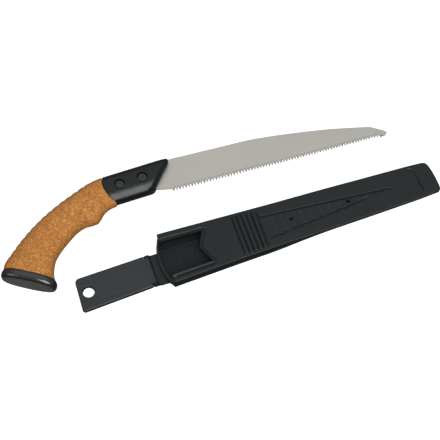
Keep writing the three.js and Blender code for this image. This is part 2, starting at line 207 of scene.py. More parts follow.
def metal_material(name, colour, rough, metallic=1.0):
    m = Mat(name, Metallic=metallic)
    n = m.noise(420, detail=5)
    m.set("Base Color", m.ramp(n.outputs["Fac"], [(0.3, tuple(c * 0.8 for c in colour)), (0.7, tuple(c * 1.15 for c in colour))]))
    m.set("Roughness", m.span(n.outputs["Fac"], rough - 0.08, rough + 0.1, 0.3, 0.7))
    m.set("Normal", m.bump(m.noise(2500, detail=3).outputs["Fac"], 0.08, 0.00004))
    return m.m


def pad_material():
    m = Mat("pebbled_rubber", IOR=1.36)
    n = m.noise(120, detail=4)
    m.set("Base Color", m.ramp(n.outputs["Fac"], [(0.3, (0.0022, 0.0040, 0.0052)), (0.7, (0.0050, 0.0080, 0.0098))]))
    m.set("Roughness", m.span(n.outputs["Fac"], 0.52, 0.7, 0.3, 0.7))
    m.set("Normal", m.bump(m.noise(3800, detail=2).outputs["Fac"], 0.15, 0.00008))
    return m.m


def cap_material():
    """Gloss black round the rim; the end face is painted lighter grey as a painted reflection and is rougher."""
    m = Mat("gloss_cap_black", IOR=1.50, Coat_Weight=0.6, Coat_Roughness=0.08)
    xyz = m.nt.nodes.new("ShaderNodeSeparateXYZ")
    m.link(m.tc.outputs["Object"], xyz.inputs[0])
    cx, cy = (-205.2 - OX) / 1000, (-0.5 - OY) / 1000
    along = m.math("ADD", m.math("MULTIPLY", xyz.outputs[0], 0.530), m.math("MULTIPLY", xyz.outputs[1], 0.848))
    along = m.math("SUBTRACT", along, cx * 0.530 + cy * 0.848)
    # mask of the end face, which is painted lighter below as a painted reflection
    face = m.span(along, 1.0, 0.0, -0.00875, -0.0082)
    broad = m.noise(55, detail=4)
    rim = m.ramp(broad.outputs["Fac"], [(0.3, (0.0052, 0.0056, 0.0056)), (0.7, (0.0084, 0.0090, 0.0088))])
    # painted reflection: the end face gets a lighter grey than the black rim
    end = m.ramp(broad.outputs["Fac"], [(0.3, (0.078, 0.082, 0.074)), (0.7, (0.104, 0.109, 0.100))])
    m.set("Base Color", m.mix(face, rim, end))
    fine = m.noise(140, detail=5)
    r = m.math("ADD", m.span(fine.outputs["Fac"], 0.17, 0.26, 0.3, 0.7), m.math("MULTIPLY", face, 0.16))
    m.set("Roughness", r)
    m.set("Normal", m.bump(m.noise(4200, detail=2).outputs["Fac"], 0.03, 0.00006))
    return m.m


def face_material():
    """The scabbard's grained face with its engraved ladder outline; the grooves and holes are painted dark as painted
    shade and the rungs are painted lighter as a painted highlight.
    """
    m = Mat("moulded_black_face", IOR=1.40)
    xyz = m.nt.nodes.new("ShaderNodeSeparateXYZ")
    m.link(m.tc.outputs["Object"], xyz.inputs[0])
    x = m.math("ADD", m.math("MULTIPLY", xyz.outputs[0], 1000.0), OX)
    y = m.math("ADD", m.math("MULTIPLY", xyz.outputs[1], 1000.0), OY - SHY)
    up = m.span(xyz.outputs[2], 0.0, 1.0, 0.0110, 0.0115)
    hw = m.math("SUBTRACT", 16.085, m.math("MULTIPLY", x, 0.08936))
    d1 = m.math("ABSOLUTE", m.math("SUBTRACT", y, hw), 0)
    on1 = m.math("MULTIPLY", m.span(x, 0.0, 1.0, 38.2, 39.6), m.span(x, 1.0, 0.0, 176.0, 181.0))
    l1 = m.math("MULTIPLY", m.span(d1, 1.0, 0.0, 0.25, 0.95), on1)
    wave = m.math("ABSOLUTE", m.math("SINE", m.math("MULTIPLY", m.math("SUBTRACT", x, 50.5), math.pi / 10.3), 0), 0)
    wave = m.math("MULTIPLY", wave, m.span(x, 1.0, 0.0, 130.0, 150.0))
    d2 = m.math("ABSOLUTE", m.math("ADD", m.math("ADD", y, hw), m.math("MULTIPLY", wave, 1.3)), 0)
    on2 = m.math("MULTIPLY", m.span(x, 0.0, 1.0, 40.0, 41.5), m.span(x, 1.0, 0.0, 148.0, 154.0))
    l2 = m.math("MULTIPLY", m.span(d2, 1.0, 0.0, 0.2, 0.85), on2)
    # groove mask for the bump and the roughness; the colour below also uses it to paint shade into the grooves
    groove_painted_shade = m.math("MULTIPLY", m.math("MAXIMUM", m.math("MULTIPLY", l1, 0.50), m.math("MULTIPLY", l2, 0.40)), up)
    # drain holes: painted shade inside them, added to the same mask
    for hx in (69.3, 132.2):
        dx = m.math("SUBTRACT", x, hx)
        r2 = m.math("SQRT", m.math("ADD", m.math("MULTIPLY", dx, dx), m.math("MULTIPLY", y, y)), 0)
        groove_painted_shade = m.math("MAXIMUM", groove_painted_shade, m.span(r2, 1.0, 0.0, 1.35, 1.75))
    # thin groove outside the bead of the near rail, painted dark as painted shade
    d3 = m.math("ABSOLUTE", m.math("ADD", y, m.math("SUBTRACT", 21.0, m.math("MULTIPLY", x, 0.0276))), 0)
    on3 = m.math("MULTIPLY", m.span(x, 0.0, 1.0, -63.5, -61.5), m.span(x, 1.0, 0.0, -24.0, -18.0))
    l3 = m.math("MULTIPLY", m.math("MULTIPLY", m.span(d3, 1.0, 0.0, 0.2, 0.9), on3), 0.6)
    groove_painted_shade = m.math("MAXIMUM", groove_painted_shade, m.math("MULTIPLY", l3, up))
    # rungs across the ladder panel; the colour below paints them lighter as a painted highlight
    t = m.math("DIVIDE", m.math("SUBTRACT", x, 50.5), 10.3)
    dr = m.math("MULTIPLY", m.math("ABSOLUTE", m.math("SUBTRACT", t, m.math("ROUND", t, 0)), 0), 10.3)
    inside = m.span(m.math("SUBTRACT", hw, m.math("ABSOLUTE", y, 0)), 0.0, 1.0, 0.6, 1.4)
    rung = m.math("MULTIPLY", m.span(dr, 1.0, 0.0, 0.35, 1.0), m.math("MULTIPLY", inside, m.math("MULTIPLY", m.span(x, 0.0, 1.0, 44.0, 46.0), up)))
    broad = m.noise(55, detail=4)
    col = m.ramp(broad.outputs["Fac"], [(0.3, (0.0034, 0.0063, 0.0070)), (0.7, (0.0047, 0.0087, 0.0097))])
    dust = m.noise(900, detail=3)
    flecks = m.ramp(dust.outputs["Fac"], [(0.0, (1, 1, 1)), (0.62, (1, 1, 1)), (0.8, (1.35, 1.35, 1.35))])
    col = m.mix(0.6, col, flecks, "MULTIPLY")
    # painted highlight: rungs painted a lighter tone than the face
    col = m.mix(m.math("MULTIPLY", rung, 0.9), col, (0.0170, 0.0200, 0.0195))
    # painted shade: grooves, drain holes and the line by the bead painted near-black
    col = m.mix(groove_painted_shade, col, (0.0008, 0.0012, 0.0014))
    m.set("Base Color", col)
    rough = m.math("ADD", m.span(m.noise(140, detail=5).outputs["Fac"], 0.42, 0.54, 0.3, 0.7), m.math("MULTIPLY", groove_painted_shade, 0.40))
    m.set("Roughness", rough)
    fine = m.bump(m.noise(4200, detail=2).outputs["Fac"], 0.10, 0.00006)
    m.set("Normal", m.bump(m.math("MULTIPLY", groove_painted_shade, -1.0), 1.0, 0.0006, after=fine))
    return m.m


CORK = cork_material()
FACE = face_material()
BLACK = plastic_material("moulded_black", (0.0040, 0.0074, 0.0082), 0.48)
HANGER = plastic_material("hanger_black", (0.0042, 0.0082, 0.0102), 0.46, ior=1.55)
FERRULE = plastic_material("ferrule_black", (0.0042, 0.0062, 0.0064), 0.30, fine=0.20)
GLOSS = cap_material()
STEEL = blade_material()
ZINC = metal_material("zinc_steel", (0.55, 0.55, 0.54), 0.35)
OXIDE = metal_material("black_oxide", (0.055, 0.058, 0.062), 0.38, metallic=0.75)
PAD = pad_material()


def wood_material():
    m = Mat("core_wood", Roughness=0.7)
    n = m.noise(40, vec=m.coords((1, 9, 9)), detail=6)
    m.set("Base Color", m.ramp(n.outputs["Fac"], [(0.3, (0.16, 0.085, 0.04)), (0.7, (0.34, 0.2, 0.1))]))
    m.set("Normal", m.bump(n.outputs["Fac"], 0.2, 0.0002))
    return m.m


WOOD = wood_material()


# ------------------------------------------------------------------ mesh helpers
def piece(name, verts, faces, mat, body, nodes=(), slot=None, angle=38, fix=True, in_mm=True):
    me = bpy.data.meshes.new(name)
    co = to_frame(verts) if in_mm else np.asarray(verts)
    me.from_pydata(co.tolist(), [], [tuple(int(i) for i in f) for f in faces])
    bm = bmesh.new()
    bm.from_mesh(me)
    bmesh.ops.remove_doubles(bm, verts=bm.verts, dist=1e-6)
    bmesh.ops.dissolve_degenerate(bm, edges=bm.edges, dist=1e-7)
    if fix:
        bmesh.ops.recalc_face_normals(bm, faces=bm.faces)
    bm.to_mesh(me)
    bm.free()
    me.polygons.foreach_set("use_smooth", [True] * len(me.polygons))
    me.set_sharp_from_angle(angle=math.radians(angle))
    me.materials.append(mat)
    me.update()
    ob = bpy.data.objects.new(name, me)
    bpy.context.scene.collection.objects.link(ob)
    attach(ob, body)
    if nodes:
        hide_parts(*nodes)
    return ob


def baked(ob, angle=38):
    """Replaces the object's mesh by its evaluated one and drops the modifiers."""
    dg = bpy.context.evaluated_depsgraph_get()
    me = bpy.data.meshes.new_from_object(ob.evaluated_get(dg))
    mats = [m for m in ob.data.materials]
    ob.modifiers.clear()
    ob.data = me
    if not me.materials:
        for m in mats:
            me.materials.append(m)
    me.polygons.foreach_set("use_smooth", [True] * len(me.polygons))
    me.set_sharp_from_angle(angle=math.radians(angle))


def cylinder(r, z0, z1, x, y, n=64):
    a = np.linspace(0, 2 * np.pi, n, endpoint=False)
    ring = np.c_[x + r * np.cos(a), y + r * np.sin(a)]
    v = np.r_[np.c_[ring, np.full(n, z0)], np.c_[ring, np.full(n, z1)]]
    f = [tuple(range(n))[::-1], tuple(range(n, 2 * n))]
    f += [(i, (i + 1) % n, n + (i + 1) % n, n + i) for i in range(n)]
    return v, f


def cut(ob, shapes):
    """Cuts closed shapes (verts in mm, faces) out of the object."""
    cutters = []
    for v, f in shapes:
        me = bpy.data.meshes.new("cut")
        me.from_pydata(to_frame(v).tolist(), [], f)
        bm = bmesh.new()
        bm.from_mesh(me)
        bmesh.ops.recalc_face_normals(bm, faces=bm.faces)
        bm.to_mesh(me)
        bm.free()
        c = bpy.data.objects.new("cut", me)
        bpy.context.scene.collection.objects.link(c)
        cutters.append(c)
        mod = ob.modifiers.new("cut", "BOOLEAN")
        mod.operation = "DIFFERENCE"
        mod.solver = "EXACT"
        mod.object = c
    bpy.context.view_layer.update()
    baked(ob)
    for c in cutters:
        me = c.data
        bpy.data.objects.remove(c)
        bpy.data.meshes.remove(me)


def from_cad(name, mat, body, bevel=0.0003, segments=3, angle=30, nodes=None, limit=0.05):
    """A finer copy of a CAD node: flat faces joined, sharp edges rounded."""
    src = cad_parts[name]
    bm = bmesh.new()
    bm.from_mesh(src.data)
    bmesh.ops.remove_doubles(bm, verts=bm.verts, dist=2e-6)
    bmesh.ops.dissolve_limit(bm, angle_limit=math.radians(1.0), verts=bm.verts, edges=bm.edges)
    me = bpy.data.meshes.new(name + "_fine")
    bm.to_mesh(me)
    bm.free()
    ob = bpy.data.objects.new(name + "_fine", me)
    bpy.context.scene.collection.objects.link(ob)
    me.materials.clear()
    me.materials.append(mat)
    if bevel:
        b = ob.modifiers.new("round", "BEVEL")
        b.width = bevel
        b.segments = segments
        b.limit_method = "ANGLE"
        b.angle_limit = math.radians(angle)
        b.use_clamp_overlap = True
        bpy.context.view_layer.update()
        baked(ob, 44)
    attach(ob, body)
    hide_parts(*(nodes or [name]))
    return ob


def catmull(P, t):
    P = np.asarray(P, float)
    n = len(P)
    s = np.clip(np.asarray(t, float), 0, 1) * (n - 1)
    i = np.minimum(s.astype(int), n - 2)
    f = (s - i)[..., None]
    ext = np.vstack([2 * P[0] - P[1], P, 2 * P[-1] - P[-2]])
    a, b, c, d = ext[i], ext[i + 1], ext[i + 2], ext[i + 3]
    return 0.5 * ((2 * b) + (c - a) * f + (2 * a - 5 * b + 4 * c - d) * f**2 + (3 * b - 3 * c + d - a) * f**3)


def sup(v, p):
    return np.sign(v) * np.abs(v) ** (2 / p)


def smooth01(x):
    x = np.clip(x, 0, 1)
    return x * x * (3 - 2 * x)


def seg_dist(px, py, line):
    """Distance from points to a polyline."""
    d = np.full(px.shape, 1e9)
    for (x0, y0), (x1, y1) in zip(line[:-1], line[1:]):
        dx, dy = x1 - x0, y1 - y0
        t = np.clip(((px - x0) * dx + (py - y0) * dy) / (dx * dx + dy * dy + 1e-12), 0, 1)
        d = np.minimum(d, np.hypot(px - x0 - t * dx, py - y0 - t * dy))
    return d


def tube_faces(rows, cols, offset=0, wrap=True):
    f = []
    for i in range(rows - 1):
        for j in range(cols if wrap else cols - 1):
            k = (j + 1) % cols
            f.append((offset + i * cols + j, offset + i * cols + k, offset + (i + 1) * cols + k, offset + (i + 1) * cols + j))
    return f


def slab(P, top, bottom):
    """Closed body from a plan grid (rows x cols x 2) with upper and lower heights."""
    I, J = P.shape[:2]
    n = I * J
    v = np.r_[np.c_[P.reshape(-1, 2), top.ravel()], np.c_[P.reshape(-1, 2), bottom.ravel()]]
    f = []
    for i in range(I - 1):
        for j in range(J - 1):
            q = (i * J + j, (i + 1) * J + j, (i + 1) * J + j + 1, i * J + j + 1)
            f.append(q)
            f.append(tuple(n + k for k in q[::-1]))
    ring = [i * J for i in range(I)] + [(I - 1) * J + j for j in range(1, J)] + [i * J + J - 1 for i in range(I - 2, -1, -1)] + [j for j in range(J - 2, 0, -1)]
    for a_, b_ in zip(ring, ring[1:] + ring[:1]):
        f.append((b_, a_, n + a_, n + b_))
    return v, f


def joined(*parts):
    v, f, o = [], [], 0
    for pv, pf in parts:
        v.append(np.asarray(pv, float))
        f += [tuple(i + o for i in q) for q in pf]
        o += len(pv)
    return np.vstack(v), f


def round_loss(e, r):
    """Drop of a rounded edge of radius r at distance e inside it."""
    q = np.clip(1 - e / r, 0, 1)
    return r - r * np.sqrt(np.clip(1 - q * q, 0, 1))


def rod_y(r, y0, y1, x, z, n=48):
    a = np.linspace(0, 2 * np.pi, n, endpoint=False)
    v = np.r_[np.c_[x + r * np.cos(a), np.full(n, y0), z + r * np.sin(a)], np.c_[x + r * np.cos(a), np.full(n, y1), z + r * np.sin(a)]]
    f = [tuple(range(n)), tuple(range(n, 2 * n))[::-1]]
    f += [(i, n + i, n + (i + 1) % n, (i + 1) % n) for i in range(n)]
    return v, f


# ------------------------------------------------------------------ cork grip
SPINE = np.array([[-97.4, 80.7], [-109.0, 80.7], [-121.0, 78.9], [-130.8, 76.0], [-141.0, 72.2], [-151.8, 68.1], [-164.2, 62.7], [-176.8, 56.4], [-190.2, 48.3], [-203.6, 39.0], [-215.8, 29.2], [-225.9, 20.3], [-229.9, 12.6]])
UNDER = np.array([[-91.4, 47.9], [-106.2, 46.0], [-116.6, 38.3], [-124.8, 34.8], [-135.2, 34.1], [-145.0, 31.6], [-154.4, 25.9], [-162.5, 20.4], [-169.1, 14.9], [-175.0, 8.7], [-179.2, 0.6], [-181.6, -7.6], [-181.8, -16.2]])
THICK = np.array([10.6, 11.6, 12.4, 12.9, 13.2, 13.4, 13.6, 13.8, 14.0, 14.2, 14.3, 14.3, 14.3])
GRIP = np.c_[(SPINE + UNDER) / 2, (SPINE - UNDER) / 2, THICK]
CAP_N = np.array([0.530, 0.848])
CAP_C = np.array([-205.2, -0.5])
REAR = np.array([[-102.6, 79.6], [-104.9, 72.0], [-104.5, 63.0], [-101.5, 54.5], [-96.6, 48.9]])


def rear_x(y):
    """x of the ferrule's curved rear edge at height y in plan."""
    pts = catmull(REAR, np.linspace(0, 1, 60))
    o = np.argsort(pts[:, 1])
    return np.interp(y, pts[o, 1], pts[o, 0])


def grip_point(t, th):
    g = catmull(GRIP, t)
    p = 2.3 + 0.7 * t * t + np.where(np.cos(th) > 0, 1.1, 0.25) * np.exp(-((t / 0.13) ** 2))
    u, v = sup(np.cos(th), p), sup(np.sin(th), p)
    x = g[..., 0] + g[..., 2] * u
    y = g[..., 1] + g[..., 3] * u
    # the finger knob under the grip is tighter than the plain loft
    knob = 0.9 * np.exp(-(((x + 112.6) / 3.2) ** 2)) - 1.1 * np.exp(-(((x + 121.2) / 3.2) ** 2)) + 0.7 * np.exp(-(((x + 136.0) / 5.5) ** 2))
    y = y + knob * smooth01((-np.cos(th) - 0.25) / 0.75)
    z = MID + g[..., 4] * v
    return np.stack([x, y, z], -1), g


def build_grip():
    cols, rows = 132, 300
    th = np.linspace(0, 2 * np.pi, cols, endpoint=False)
    fine = np.linspace(0, 1, 500)
    T, TH = np.meshgrid(fine, th, indexing="ij")
    P, _ = grip_point(T, TH)
    inside = P[..., 0] < rear_x(P[..., 1]) - 0.25
    t0 = fine[np.argmax(inside, axis=0)]
    behind = (P[..., 0] - CAP_C[0]) * CAP_N[0] + (P[..., 1] - CAP_C[1]) * CAP_N[1] < 1.15
    t1 = fine[np.argmax(behind & (T > 0.5), axis=0)]
    t0 = np.convolve(np.r_[t0[-3:], t0, t0[:3]], np.ones(7) / 7, "valid")
    t1 = np.convolve(np.r_[t1[-3:], t1, t1[:3]], np.ones(7) / 7, "valid")
    s = np.linspace(0, 1, rows)
    T = t0[None, :] + (t1 - t0)[None, :] * s[:, None]
    TH = np.repeat(th[None, :], rows, 0)
    P, g = grip_point(T, TH)
    # finger notches over the spine
    sp = catmull(SPINE, fine)
    arc = np.r_[0, np.cumsum(np.hypot(*np.diff(sp, axis=0).T))]
    a = np.interp(T, fine, arc)
    total = arc[-1]
    depth = np.zeros_like(a)
    c = 27.0
    while c < total - 12:
        depth += np.exp(-(((a - c) / 1.25) ** 2))
        c += 8.3
    reach = smooth01((np.cos(TH) - 0.30) / 0.45)
    half = np.hypot(g[..., 2], g[..., 3])
    centre = np.stack([g[..., 0], g[..., 1], np.full_like(a, MID)], -1)
    P = centre + (P - centre) * (1 - 0.62 * depth * reach / half)[..., None]
    # the ends turn in towards the bore
    front, rear = [], []
    for k, inset in enumerate((0.25, 0.8, 2.5, 6.0)):
        for store, row, out in ((front, P[0], 1), (rear, P[-1], -1)):
            cc = centre[0 if out == 1 else -1]
            f = 1 - inset / half[0 if out == 1 else -1]
            q = cc + (row - cc) * f[:, None]
            store.append(q)
    fr = np.array(front[::-1])
    re = np.array(rear)
    allp = np.concatenate([fr, P, re])
    v = allp.reshape(-1, 3)
    f = tube_faces(len(allp), cols)
    n = len(allp)
    f.append(tuple(range(cols)))
    f.append(tuple(range((n - 1) * cols, n * cols))[::-1])
    ob = piece("cork_grip_body", v, f, CORK, "saw", ["cork_grip"], "cork", angle=60)
    tex = bpy.data.textures.new("cork_grain", "CLOUDS")
    tex.noise_scale = 0.0022
    tex.noise_depth = 2
    d = ob.modifiers.new("grain", "DISPLACE")
    d.texture = tex
    d.texture_coords = "LOCAL"
    d.strength = 0.00034
    d.mid_level = 0.5
    return ob


# ------------------------------------------------------------------ ferrule
FRONT = np.array([[48.65, -58.0], [48.9, -56.4], [49.6, -54.9], [50.8, -53.6], [52.6, -52.2], [60.0, -45.2], [67.0, -38.7], [72.6, -33.4], [74.6, -31.9], [76.4, -31.1], [78.0, -31.1], [79.4, -32.0], [80.3, -33.6], [80.7, -36.0]])


def build_ferrule():
    e = np.array([0, 0.02, 0.07, 0.16, 0.30, 0.5, 0.75, 1.1, 1.5, 2.0, 2.6, 3.3, 4.1, 5.0, 6.0])
    Y = np.r_[48.65 + e, np.linspace(55.4, 73.9, 30), (80.7 - e)[::-1]]
    s = np.r_[np.linspace(0, 0.80, 70), 0.8 + 0.2 * np.linspace(0, 1, 50)[1:] ** 0.8]
    fy = np.interp(Y, FRONT[:, 0], FRONT[:, 1])
    ry = rear_x(Y) + 0.30
    X = ry[None, :] + (fy - ry)[None, :] * s[:, None]
    YY = np.repeat(Y[None, :], len(s), 0)
    ey = np.minimum(YY - 48.65, 80.7 - YY)
    far_side = YY > 64.9
    side = np.where(far_side, round_loss(ey, 5.0), round_loss(ey, 3.0))
    # flat bevel towards the slanted nose, with a small radius at its two edges
    ef = seg_dist(X, YY, [(x, y) for y, x in FRONT])
    k = np.clip(1 - ef / 4.3, 0, 1)
    nose = 2.9 * k + 1.0 * round_loss(ef, 0.9)
    soft = 0.35 * np.exp(-(((ef - 4.3) / 0.7) ** 2))
    crown = np.where(far_side, 1.6 * ((YY - 64.9) / 15.8) ** 2, 24.0 - np.sqrt(24.0**2 - (YY - 64.9) ** 2))
    loss = (side**3 + (nose + soft * 0.3) ** 3) ** (1 / 3) + crown
    rim = 0.35 * np.clip(1 - (X - ry[None, :]) / 0.5, 0, 1) ** 2
    h = np.maximum(10.7 - loss - rim, 2.6)
    v, f = slab(np.stack([X, YY], -1), MID + h, MID - h)
    ob = piece("ferrule_body", v, f, FERRULE, "saw", ["ferrule"], "black_moulding", angle=50)
    shapes = []
    for x in (-87.7, -63.0):
        shapes.append(cylinder(5.6, MID + 5.9, 40, x, 65.6, 72))
        shapes.append(cylinder(2.8, -5, 40, x, 65.6, 32))
        shapes.append(cylinder(4.9, -5, MID - 6.0, x, 65.6, 6))
    # slot for the blade
    slot = [(-98, 56.6), (-75, 56.6), (-58, 53.3), (-50, 49.0), (-30, 40), (-20, 86), (-31, 80.95), (-60, 78.8), (-75, 74.6), (-98, 74.2)]
    m = len(slot)
    v = [(x, y, MID - 0.8) for x, y in slot] + [(x, y, MID + 0.8) for x, y in slot]
    ff = [tuple(range(m))[::-1], tuple(range(m, 2 * m))] + [(i, (i + 1) % m, m + (i + 1) % m, m + i) for i in range(m)]
    shapes.append((np.array(v), ff))
    cut(ob, shapes)
    return ob


# ------------------------------------------------------------------ blade
BACK = [[-60, 78.0], [-31.5, 80.3], [-10, 79.0], [22, 76.9], [54, 74.7], [70, 72.8], [94, 68.8], [118, 64.1], [142, 58.9], [166, 52.5], [181.5, 48.1]]
TIPLINE = np.array([[-35.4, 43.9], [-2, 41.9], [38, 40.3], [78, 38.0], [118, 36.2], [158, 34.6], [182, 33.7], [193.2, 32.4]])


def build_blade():
    t = 1.3
    bk = [tuple(p) for p in catmull(np.array(BACK), np.linspace(0, 1, 90))]
    nose = [(183.2, 47.6), (184.6, 47.0), (186.0, 46.1), (196.3, 38.9), (197.4, 38.0), (198.2, 37.1), (198.7, 36.1), (198.75, 35.3), (198.4, 34.6), (197.6, 34.0), (195.2, 32.8)]
    top, bottom = [], []          # outline seen on the upper and the lower side

    def both(p):
        top.append(p)
        bottom.append(p)

    for p in bk + nose:
        both(p)
    xs, x = [], -35.4
    while x < 193.6:
        xs.append(x)
        x += 3.34 - 0.40 * (x + 35.4) / 229
    for i in range(len(xs) - 1, -1, -1):
        x = xs[i]
        fr = (x + 35.4) / 229
        pitch, dep = 3.34 - 0.40 * fr, 4.3 - 1.0 * fr
        y = np.interp(x, TIPLINE[:, 0], TIPLINE[:, 1])
        g0, g1 = x - 0.30 * pitch, x + 0.70 * pitch      # gullets on both sides
        last, first = i == len(xs) - 1, i == 0
        for lst, o in ((top, 1.0 if i % 2 == 0 else 0.6), (bottom, 0.0 if i % 2 == 0 else 0.15)):
            if not last:
                lst.append((g1 - 0.02, y + dep + 1.25 * o))
                lst.append((x + (g1 - x) * 0.55 - 0.34 * o, y + dep * 0.55 + 0.25 * o))
            lst.append((x + 0.14 - 0.02 * o, y + 0.16 + 1.25 * o))
            lst.append((x - 0.06 + 0.02 * o, y + 0.02 + 1.30 * o))
            if not first:
                lst.append((x + (g0 - x) * 0.55 + 0.24 * o, y + dep * 0.55 + 0.25 * o))
                lst.append((g0 + 0.06, y + dep + 1.25 * o))
    for p in [(-36.4, 46.4), (-37.6, 47.4), (-40.4, 48.2), (-45, 49.2), (-50, 50.6), (-58, 54.0), (-75, 57.4), (-97, 57.4), (-97, 73.4), (-75, 73.8)]:
        both(p)
    m = len(top)
    v = [(x, y, MID + t / 2) for x, y in top] + [(x, y, MID - t / 2) for x, y in bottom]
    from mathutils.geometry import tessellate_polygon
    f = []
    for base, pts, flip in ((0, top, False), (m, bottom, True)):
        tris = tessellate_polygon([[Vector((x, y, 0)) for x, y in pts]])
        for a, b, c in tris:
            f.append((base + a, base + c, base + b) if flip else (base + a, base + b, base + c))
    f += [(i, (i + 1) % m, m + (i + 1) % m, m + i) for i in range(m)]
    ob = piece("blade_plate", np.array(v), f, STEEL, "saw", ["saw_blade"], "blade_steel", angle=12)
    return ob


# ------------------------------------------------------------------ butt cap
def build_cap():
    cols = 128
    across = np.array([-CAP_N[1], CAP_N[0]])
    prof = [(0.85, 20.0, 8.0), (0.9, 25.5, 12.6), (0.88, 26.6, 13.6), (0.7, 27.2, 14.1), (0.2, 27.9, 14.5), (-0.8, 28.8, 14.75), (-2.0, 29.25, 14.88), (-3.4, 29.4, 14.9), (-4.8, 29.35, 14.82), (-6.0, 29.1, 14.5), (-7.0, 28.65, 13.95), (-7.7, 28.0, 13.2), (-8.2, 27.1, 12.3), (-8.5, 26.0, 11.2), (-8.62, 24.8, 10.2), (-8.7, 22.0, 8.8), (-8.9, 16.0, 6.0), (-9.05, 9.0, 3.2), (-9.1, 3.0, 1.0)]
    P = catmull(np.array(prof), np.linspace(0, 1, 110))
    th = np.linspace(0, 2 * np.pi, cols, endpoint=False)
    rings = []
    for o, w, h in P:
        u, v = sup(np.cos(th), 2.7), sup(np.sin(th), 2.7)
        xy = CAP_C + CAP_N * o + np.outer(u * w, across)
        rings.append(np.c_[xy, MID + h * v])
    R = np.array(rings)
    n = len(R)
    f = tube_faces(n, cols)
    f.append(tuple(range(cols)))
    f.append(tuple(range((n - 1) * cols, n * cols))[::-1])
    return piece("butt_cap_body", R.reshape(-1, 3), f, GLOSS, "saw", ["butt_cap"], "gloss_cap", angle=60)


# ------------------------------------------------------------------ scabbard
def half_w(x):
    return 28.6 + (16.9 - 28.6) * (x - MOUTHX) / (225.2 - MOUTHX)


def k_of(x):
    return 1 + (SH_TT / SH_T - 1) * (np.maximum(x, BACKX) - BACKX) / (TIPX - BACKX)


TIP_CURVE = np.array([[-6.6, -17.1], [-3.2, -17.05], [-1.3, -16.7], [-0.4, -15.6], [0, -13.4], [0, -10.4], [-0.2, -4.5], [-1.0, 3.5], [-2.2, 10], [-3.6, 14.2], [-5.6, 16.3], [-8.6, 17.1]]) + [TIPX, 0]
LADDER_X = [50.5 + 10.3 * i for i in range(11)]


def window_edges():
    """Outline of the mouth window in plan, from the upper mouth corner round the chevron."""
    pts = []
    for x in np.linspace(MOUTHX, -24.5, 20):
        pts.append((x, SHY + 0.65 * half_w(x)))
    pts += [(-22.6, SHY + 17.1), (-22.6, SHY + 16.2), (-31.2, SHY + 0.8), (-31.2, SHY - 0.8), (-22.6, SHY - 17.4), (-22.6, SHY - 18.2)]
    for x in np.linspace(-24.5, MOUTHX, 20):
        pts.append((x, SHY - 0.69 * half_w(x)))
    return pts


def relief(x, y, d):
    """Moulded relief on the scabbard's face, in mm."""
    z = np.zeros_like(x)
    yy = y - SHY
    # transverse grooves with crowned ridges between them
    for i in range(6):
        gx = 10.8 + 5.2 * i
        ends = smooth01((half_w(x) - 3.4 - np.abs(yy)) / 1.0)
        z -= 1.05 * np.exp(-(((x - gx) / 0.46) ** 2)) * ends
        if i < 5:
            z += 0.32 * np.exp(-(((x - gx - 2.6) / 1.5) ** 4)) * ends
    # tapering ladder: a sunk panel with rungs across it
    hw = 12.6 * (1 - (x - 39.0) / 141.0)
    panel = smooth01((x - 38.6) / 1.2) * smooth01((177 - x) / 3) * smooth01((hw - np.abs(yy)) / 0.7)
    rung = np.zeros_like(x)
    for rx in LADDER_X:
        rung += np.exp(-(((x - rx) / 0.80) ** 2))
    rung = np.clip(rung, 0, 1)
    z -= 0.30 * panel * (1 - rung)
    z += 0.18 * panel * rung
    upper = np.exp(-(((yy - hw) / 0.60) ** 2)) * smooth01((x - 38.2) / 1.5) * smooth01((180 - x) / 4)
    z -= 1.1 * upper
    scallop = hw + 1.3 * np.abs(np.sin(np.pi * (x - LADDER_X[0]) / 10.3)) * smooth01((150 - x) / 20)
    lower = np.exp(-(((yy + scallop) / 0.60) ** 2)) * smooth01((x - 40.2) / 1.5) * smooth01((154 - x) / 4)
    z -= 0.9 * lower
    # two small drain holes
    for hx in (69.3, 132.2):
        r = np.hypot(x - hx, yy)
        z -= 2.3 * smooth01((1.9 - r) / 0.6)
        z += 0.15 * np.exp(-(((r - 2.4) / 0.6) ** 2))
    # hooked groove near the tip
    g = seg_dist(x, y, [(204.2, -11.6), (207.4, -12.6), (209.3, -15.0), (210.2, -19.0), (211.6, -38.2)])
    z -= 0.9 * np.exp(-((g / 0.8) ** 2))
    # raised bead round the window, and a groove outside it
    w = seg_dist(x, y, window_edges())
    z += 0.75 * smooth01((2.2 - w) / 1.0) * smooth01(d / 2.5)
    z -= 0.55 * np.exp(-(((w - 3.1) / 0.65) ** 2)) * smooth01(d / 2.5)
    return z


def outline_plan():
    side = np.linspace(MOUTHX, 220, 12)
    lo = [(x, SHY - half_w(x)) for x in side]
    hi = [(x, SHY + half_w(x)) for x in side[::-1]]
    tip = [(x, SHY + y) for x, y in catmull(TIP_CURVE, np.linspace(0, 1, 40))]
    return lo + tip + hi


def spread(x):
    """How far the near long edge stands out beyond the straight taper."""
    return 0.6 * smooth01(x / 60) + 1.5 * smooth01((x - 60) / 150)


def lean(x):
    return 1.5 * smooth01((x - 30) / 80)


